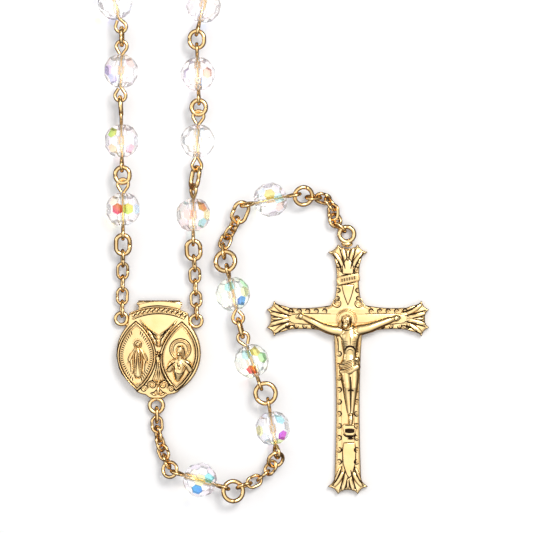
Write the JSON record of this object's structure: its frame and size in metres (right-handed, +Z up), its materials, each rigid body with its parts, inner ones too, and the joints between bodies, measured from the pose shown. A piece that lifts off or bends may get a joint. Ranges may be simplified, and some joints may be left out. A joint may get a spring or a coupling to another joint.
{
  "type": "rosary",
  "caption": "Rosary of round faceted crystal beads on wire eye pins, joined by rings and cable chain, with a hinged locket centre medal and a crucifix pendant.",
  "frame": {"origin": "middle of the rosary's outline on the table plane it lies on", "axes": "+Y up the strands, from the pendant to the loop's crown; +Z up from the table; +X towards the crucifix"},
  "size_m": [0.1831, 0.3292, 0.006],
  "materials": {
    "crystal": "clear faceted crystal with an iridescent coating",
    "gold": "polished gold plate",
    "gold_relief": "polished gold plate, cast relief"
  },
  "bodies": {
    "far_loop": {"loop_decade_1": "gold", "loop_decade_2": "gold", "loop_decade_3": "gold", "loop_decade_4": "gold", "loop_decade_5": "gold"},
    "left_strand": {"left_strand_wire": "gold", "left_chain_run": "gold"},
    "right_strand": {"right_strand_wire": "gold", "right_chain_run": "gold"},
    "left_bead_1": {"left_bead_1": "crystal"},
    "left_bead_2": {"left_bead_2": "crystal"},
    "left_bead_3": {"left_bead_3": "crystal"},
    "right_bead_1": {"right_bead_1": "crystal"},
    "right_bead_2": {"right_bead_2": "crystal"},
    "right_bead_3": {"right_bead_3": "crystal"},
    "centre_back": {"centre_back": "gold", "centre_hinge_pin": "gold"},
    "centre_cover": {"centre_cover": "gold"},
    "upper_link_1": {"upper_link_1": "gold"},
    "upper_link_2": {"upper_link_2": "gold"},
    "upper_link_3": {"upper_link_3": "gold"},
    "upper_link_4": {"upper_link_4": "gold"},
    "upper_link_5": {"upper_link_5": "gold"},
    "upper_link_6": {"upper_link_6": "gold"},
    "turn_ring_1": {"turn_ring_1": "gold"},
    "our_father_1_pin": {"our_father_1_pin": "gold"},
    "our_father_1_bead": {"our_father_1_bead": "crystal"},
    "turn_ring_2": {"turn_ring_2": "gold"},
    "lower_link_1": {"lower_link_1": "gold"},
    "lower_link_2": {"lower_link_2": "gold"},
    "lower_link_3": {"lower_link_3": "gold"},
    "lower_link_4": {"lower_link_4": "gold"},
    "turn_ring_3": {"turn_ring_3": "gold"},
    "hail_mary_1_pin": {"hail_mary_1_pin": "gold"},
    "hail_mary_1_bead": {"hail_mary_1_bead": "crystal"},
    "middle_ring_1": {"middle_ring_1": "gold"},
    "hail_mary_2_pin": {"hail_mary_2_pin": "gold"},
    "hail_mary_2_bead": {"hail_mary_2_bead": "crystal"},
    "middle_ring_2": {"middle_ring_2": "gold"},
    "hail_mary_3_pin": {"hail_mary_3_pin": "gold"},
    "hail_mary_3_bead": {"hail_mary_3_bead": "crystal"},
    "turn_ring_4": {"turn_ring_4": "gold"},
    "side_link_1": {"side_link_1": "gold"},
    "side_link_2": {"side_link_2": "gold"},
    "side_link_3": {"side_link_3": "gold"},
    "side_link_4": {"side_link_4": "gold"},
    "turn_ring_5": {"turn_ring_5": "gold"},
    "our_father_2_pin": {"our_father_2_pin": "gold"},
    "our_father_2_bead": {"our_father_2_bead": "crystal"},
    "turn_ring_6": {"turn_ring_6": "gold"},
    "end_link_1": {"end_link_1": "gold"},
    "end_link_2": {"end_link_2": "gold"},
    "end_link_3": {"end_link_3": "gold"},
    "end_link_4": {"end_link_4": "gold"},
    "turn_ring_7": {"turn_ring_7": "gold"},
    "crucifix_ring": {"crucifix_ring": "gold"},
    "crucifix": {"crucifix_cross": "gold", "crucifix_corpus": "gold_relief"}
  },
  "joints": [
    {"name": "strand_sway", "type": "hinge", "parent": "far_loop", "child": "left_strand", "pos_m": [-0.00645, -0.08365, 0.003], "axis": [0, 0, 1], "range_deg": [0, 15]},
    {"name": "right_strand_sway", "type": "hinge", "parent": "far_loop", "child": "right_strand", "pos_m": [0.00676, -0.08417, 0.003], "axis": [0, 0, 1], "range_deg": [0, 15]},
    {"name": "left_bead_1_spin", "type": "hinge", "parent": "left_strand", "child": "left_bead_1", "pos_m": [-0.00658, -0.0886, 0.003], "axis": [-0.0262, -0.9997, 0], "continuous": true},
    {"name": "left_bead_2_spin", "type": "hinge", "parent": "left_strand", "child": "left_bead_2", "pos_m": [-0.00649, -0.1009, 0.003], "axis": [0.0144, -0.9999, 0], "continuous": true},
    {"name": "left_bead_3_spin", "type": "hinge", "parent": "left_strand", "child": "left_bead_3", "pos_m": [-0.00623, -0.1129, 0.003], "axis": [0.0003, -1, 0], "continuous": true},
    {"name": "right_bead_1_spin", "type": "hinge", "parent": "right_strand", "child": "right_bead_1", "pos_m": [0.00695, -0.0891, 0.003], "axis": [0.0385, -0.9993, 0], "continuous": true},
    {"name": "right_bead_2_spin", "type": "hinge", "parent": "right_strand", "child": "right_bead_2", "pos_m": [0.0069, -0.1009, 0.003], "axis": [-0.0322, -0.9995, 0], "continuous": true},
    {"name": "right_bead_3_spin", "type": "hinge", "parent": "right_strand", "child": "right_bead_3", "pos_m": [0.00615, -0.1139, 0.003], "axis": [-0.0058, -1, 0], "continuous": true},
    {"name": "centre_level", "type": "hinge", "parent": "left_strand", "child": "centre_back", "pos_m": [-0.00648, -0.13154, 0.0012], "axis": [0, 0, 1], "range_deg": [-15, 0]},
    {"name": "cover_hinge", "type": "hinge", "parent": "centre_back", "child": "centre_cover", "pos_m": [0.00015, -0.12954, 0.00136], "axis": [-1, 0, 0], "range_deg": [0, 110]},
    {"name": "upper_link_1_turn", "type": "hinge", "parent": "centre_back", "child": "upper_link_1", "pos_m": [-0.00035, -0.14835, 0.0012], "axis": [0, 0, 1], "range_deg": [-15, 3]},
    {"name": "upper_link_2_turn", "type": "hinge", "parent": "upper_link_1", "child": "upper_link_2", "pos_m": [-0.00033, -0.15004, 0.0012], "axis": [0, 0, -1], "range_deg": [-3, 15]},
    {"name": "upper_link_3_turn", "type": "hinge", "parent": "upper_link_2", "child": "upper_link_3", "pos_m": [-0.00023, -0.15172, 0.0012], "axis": [0, 0, 1], "range_deg": [-15, 3]},
    {"name": "upper_link_4_turn", "type": "hinge", "parent": "upper_link_3", "child": "upper_link_4", "pos_m": [0.00007, -0.15338, 0.0012], "axis": [0, 0, -1], "range_deg": [-1, 15]},
    {"name": "upper_link_5_turn", "type": "hinge", "parent": "upper_link_4", "child": "upper_link_5", "pos_m": [0.00053, -0.155, 0.0012], "axis": [0, 0, 1], "range_deg": [-15, 1]},
    {"name": "upper_link_6_turn", "type": "hinge", "parent": "upper_link_5", "child": "upper_link_6", "pos_m": [0.00116, -0.15656, 0.00175], "axis": [0, 0, -1], "range_deg": [-1, 15]},
    {"name": "turn_ring_1_turn", "type": "hinge", "parent": "upper_link_6", "child": "turn_ring_1", "pos_m": [0.00172, -0.15815, 0.0025], "axis": [0, 0, 1], "range_deg": [-15, 1]},
    {"name": "our_father_1_pin_turn", "type": "hinge", "parent": "turn_ring_1", "child": "our_father_1_pin", "pos_m": [0.00259, -0.15911, 0.003], "axis": [0, 0, -1], "range_deg": [-1, 15]},
    {"name": "our_father_1_bead_spin", "type": "hinge", "parent": "our_father_1_pin", "child": "our_father_1_bead", "pos_m": [0.00732, -0.16058, 0.003], "axis": [0.9548, -0.2974, 0], "continuous": true},
    {"name": "turn_ring_2_turn", "type": "hinge", "parent": "our_father_1_pin", "child": "turn_ring_2", "pos_m": [0.01205, -0.16205, 0.003], "axis": [0, 0, 1], "range_deg": [-15, 1]},
    {"name": "lower_link_1_turn", "type": "hinge", "parent": "turn_ring_2", "child": "lower_link_1", "pos_m": [0.01415, -0.16185, 0.0025], "axis": [0, 0, -1], "range_deg": [-1, 15]},
    {"name": "lower_link_2_turn", "type": "hinge", "parent": "lower_link_1", "child": "lower_link_2", "pos_m": [0.016, -0.16133, 0.00175], "axis": [0, 0, 1], "range_deg": [-15, 1]},
    {"name": "lower_link_3_turn", "type": "hinge", "parent": "lower_link_2", "child": "lower_link_3", "pos_m": [0.01774, -0.16051, 0.0012], "axis": [0, 0, -1], "range_deg": [-1, 7]},
    {"name": "lower_link_4_turn", "type": "hinge", "parent": "lower_link_3", "child": "lower_link_4", "pos_m": [0.01917, -0.15922, 0.00175], "axis": [0, 0, 1], "range_deg": [-13, 3]},
    {"name": "turn_ring_3_turn", "type": "hinge", "parent": "lower_link_4", "child": "turn_ring_3", "pos_m": [0.02035, -0.1577, 0.0025], "axis": [0, 0, -1], "range_deg": [-3, 15]},
    {"name": "hail_mary_1_pin_turn", "type": "hinge", "parent": "turn_ring_3", "child": "hail_mary_1_pin", "pos_m": [0.02093, -0.15633, 0.003], "axis": [0, 0, 1], "range_deg": [-15, 3]},
    {"name": "hail_mary_1_bead_spin", "type": "hinge", "parent": "hail_mary_1_pin", "child": "hail_mary_1_bead", "pos_m": [0.02012, -0.15145, 0.003], "axis": [-0.1633, 0.9866, 0], "continuous": true},
    {"name": "middle_ring_1_turn", "type": "hinge", "parent": "hail_mary_1_pin", "child": "middle_ring_1", "pos_m": [0.01931, -0.14657, 0.003], "axis": [0, 0, -1], "range_deg": [-5, 15]},
    {"name": "hail_mary_2_pin_turn", "type": "hinge", "parent": "middle_ring_1", "child": "hail_mary_2_pin", "pos_m": [0.01806, -0.14429, 0.003], "axis": [0, 0, 1], "range_deg": [-15, 5]},
    {"name": "hail_mary_2_bead_spin", "type": "hinge", "parent": "hail_mary_2_pin", "child": "hail_mary_2_bead", "pos_m": [0.0164, -0.13963, 0.003], "axis": [-0.3354, 0.9421, 0], "continuous": true},
    {"name": "middle_ring_2_turn", "type": "hinge", "parent": "hail_mary_2_pin", "child": "middle_ring_2", "pos_m": [0.01474, -0.13497, 0.003], "axis": [0, 0, -1], "range_deg": [-7, 9]},
    {"name": "hail_mary_3_pin_turn", "type": "hinge", "parent": "middle_ring_2", "child": "hail_mary_3_pin", "pos_m": [0.01416, -0.13269, 0.003], "axis": [0, 0, 1], "range_deg": [-13, 9]},
    {"name": "hail_mary_3_bead_spin", "type": "hinge", "parent": "hail_mary_3_pin", "child": "hail_mary_3_bead", "pos_m": [0.01311, -0.12785, 0.003], "axis": [-0.2113, 0.9774, 0], "continuous": true},
    {"name": "turn_ring_4_turn", "type": "hinge", "parent": "hail_mary_3_pin", "child": "turn_ring_4", "pos_m": [0.01206, -0.12301, 0.003], "axis": [0, 0, -1], "range_deg": [-15, 15]},
    {"name": "side_link_1_turn", "type": "hinge", "parent": "turn_ring_4", "child": "side_link_1", "pos_m": [0.0115, -0.12115, 0.0025], "axis": [0, 0, 1], "range_deg": [-13, 15]},
    {"name": "side_link_2_turn", "type": "hinge", "parent": "side_link_1", "child": "side_link_2", "pos_m": [0.01144, -0.11938, 0.00175], "axis": [0, 0, -1], "range_deg": [-15, 13]},
    {"name": "side_link_3_turn", "type": "hinge", "parent": "side_link_2", "child": "side_link_3", "pos_m": [0.0121, -0.11776, 0.0012], "axis": [0, 0, 1], "range_deg": [-5, 11]},
    {"name": "side_link_4_turn", "type": "hinge", "parent": "side_link_3", "child": "side_link_4", "pos_m": [0.013, -0.11623, 0.00175], "axis": [0, 0, -1], "range_deg": [-15, 13]},
    {"name": "turn_ring_5_turn", "type": "hinge", "parent": "side_link_4", "child": "turn_ring_5", "pos_m": [0.0139, -0.1147, 0.0025], "axis": [0, 0, 1], "range_deg": [-11, 15]},
    {"name": "our_father_2_pin_turn", "type": "hinge", "parent": "turn_ring_5", "child": "our_father_2_pin", "pos_m": [0.0149, -0.11225, 0.003], "axis": [0, 0, -1], "range_deg": [-15, 1]},
    {"name": "our_father_2_bead_spin", "type": "hinge", "parent": "our_father_2_pin", "child": "our_father_2_bead", "pos_m": [0.01975, -0.11126, 0.003], "axis": [0.9799, 0.1994, 0], "continuous": true},
    {"name": "turn_ring_6_turn", "type": "hinge", "parent": "our_father_2_pin", "child": "turn_ring_6", "pos_m": [0.0246, -0.11027, 0.003], "axis": [0, 0, 1], "range_deg": [-9, 15]},
    {"name": "end_link_1_turn", "type": "hinge", "parent": "turn_ring_6", "child": "end_link_1", "pos_m": [0.02645, -0.1109, 0.0025], "axis": [0, 0, -1], "range_deg": [-15, 9]},
    {"name": "end_link_2_turn", "type": "hinge", "parent": "end_link_1", "child": "end_link_2", "pos_m": [0.02817, -0.11075, 0.00175], "axis": [0, 0, 1], "range_deg": [-9, 15]},
    {"name": "end_link_3_turn", "type": "hinge", "parent": "end_link_2", "child": "end_link_3", "pos_m": [0.02979, -0.11126, 0.0012], "axis": [0, 0, -1], "range_deg": [-15, 9]},
    {"name": "end_link_4_turn", "type": "hinge", "parent": "end_link_3", "child": "end_link_4", "pos_m": [0.03082, -0.11258, 0.0012], "axis": [0, 0, 1], "range_deg": [-1, 15]},
    {"name": "turn_ring_7_turn", "type": "hinge", "parent": "end_link_4", "child": "turn_ring_7", "pos_m": [0.03085, -0.1143, 0.0012], "axis": [0, 0, -1], "range_deg": [-13, 11]},
    {"name": "crucifix_ring_turn", "type": "hinge", "parent": "turn_ring_7", "child": "crucifix_ring", "pos_m": [0.0313, -0.1155, 0.0012], "axis": [0, 0, 1], "range_deg": [-5, 15]},
    {"name": "crucifix_swing", "type": "hinge", "parent": "crucifix_ring", "child": "crucifix", "pos_m": [0.03262, -0.11662, 0.0012], "axis": [0, 0, -1], "range_deg": [-15, 11]}
  ],
  "couplings": [
    {"joint": "right_strand_sway", "follows": "strand_sway", "ratio": 1},
    {"joint": "centre_level", "follows": "strand_sway", "ratio": -1}
  ]
}
